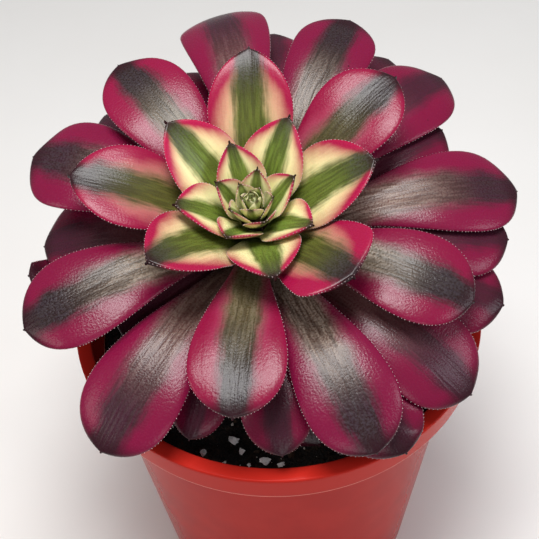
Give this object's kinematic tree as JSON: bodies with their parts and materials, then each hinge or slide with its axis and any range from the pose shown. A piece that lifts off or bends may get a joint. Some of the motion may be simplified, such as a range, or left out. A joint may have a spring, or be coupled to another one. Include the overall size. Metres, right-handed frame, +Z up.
{
  "type": "potted aeonium",
  "caption": "Potted aeonium: a leaning spiral rosette of fleshy spoon-shaped leaves on a short stem, standing in potting mix in a round tapered plastic grow pot.",
  "frame": {"origin": "centre of the pot's flat underside, where it rests", "axes": "+Z up along the pot's axis; the rosette leans towards -Y"},
  "size_m": [0.1647, 0.1675, 0.2032],
  "materials": {
    "pot_plastic": "glossy moulded polypropylene, orange-red",
    "potting_mix": "dark granular potting mix of peat and bark",
    "bark": "rough young bark",
    "leaf_skin": "semi-gloss waxy leaf, green to dark purple stripe, magenta sides",
    "perlite": "white foamed mineral grain"
  },
  "bodies": {
    "root": {"pot": "pot_plastic", "soil": "potting_mix", "stem": "bark", "heart_bud": "leaf_skin", "leaf_01": "leaf_skin", "leaf_02": "leaf_skin", "leaf_03": "leaf_skin", "leaf_04": "leaf_skin", "leaf_05": "leaf_skin", "leaf_06": "leaf_skin", "leaf_07": "leaf_skin", "leaf_08": "leaf_skin", "leaf_09": "leaf_skin", "leaf_10": "leaf_skin", "leaf_11": "leaf_skin", "leaf_12": "leaf_skin", "leaf_13": "leaf_skin", "leaf_14": "leaf_skin", "leaf_15": "leaf_skin", "leaf_16": "leaf_skin", "leaf_17": "leaf_skin", "leaf_18": "leaf_skin", "leaf_19": "leaf_skin", "leaf_20": "leaf_skin", "leaf_21": "leaf_skin", "leaf_22": "leaf_skin", "leaf_23": "leaf_skin", "leaf_24": "leaf_skin", "leaf_25": "leaf_skin", "leaf_26": "leaf_skin", "leaf_27": "leaf_skin", "leaf_28": "leaf_skin", "leaf_29": "leaf_skin", "leaf_30": "leaf_skin", "leaf_31": "leaf_skin", "leaf_32": "leaf_skin", "leaf_33": "leaf_skin", "leaf_34": "leaf_skin", "leaf_35": "leaf_skin", "leaf_36": "leaf_skin", "leaf_37": "leaf_skin", "leaf_38": "leaf_skin", "leaf_39": "leaf_skin", "leaf_40": "leaf_skin", "leaf_41": "leaf_skin", "leaf_42": "leaf_skin", "leaf_43": "leaf_skin", "leaf_44": "leaf_skin", "leaf_45": "leaf_skin", "leaf_46": "leaf_skin", "leaf_47": "leaf_skin", "leaf_48": "leaf_skin", "leaf_49": "leaf_skin", "leaf_50": "leaf_skin", "perlite_1": "perlite", "perlite_2": "perlite", "perlite_3": "perlite", "perlite_4": "perlite", "perlite_5": "perlite", "perlite_6": "perlite"}
  },
  "joints": []
}
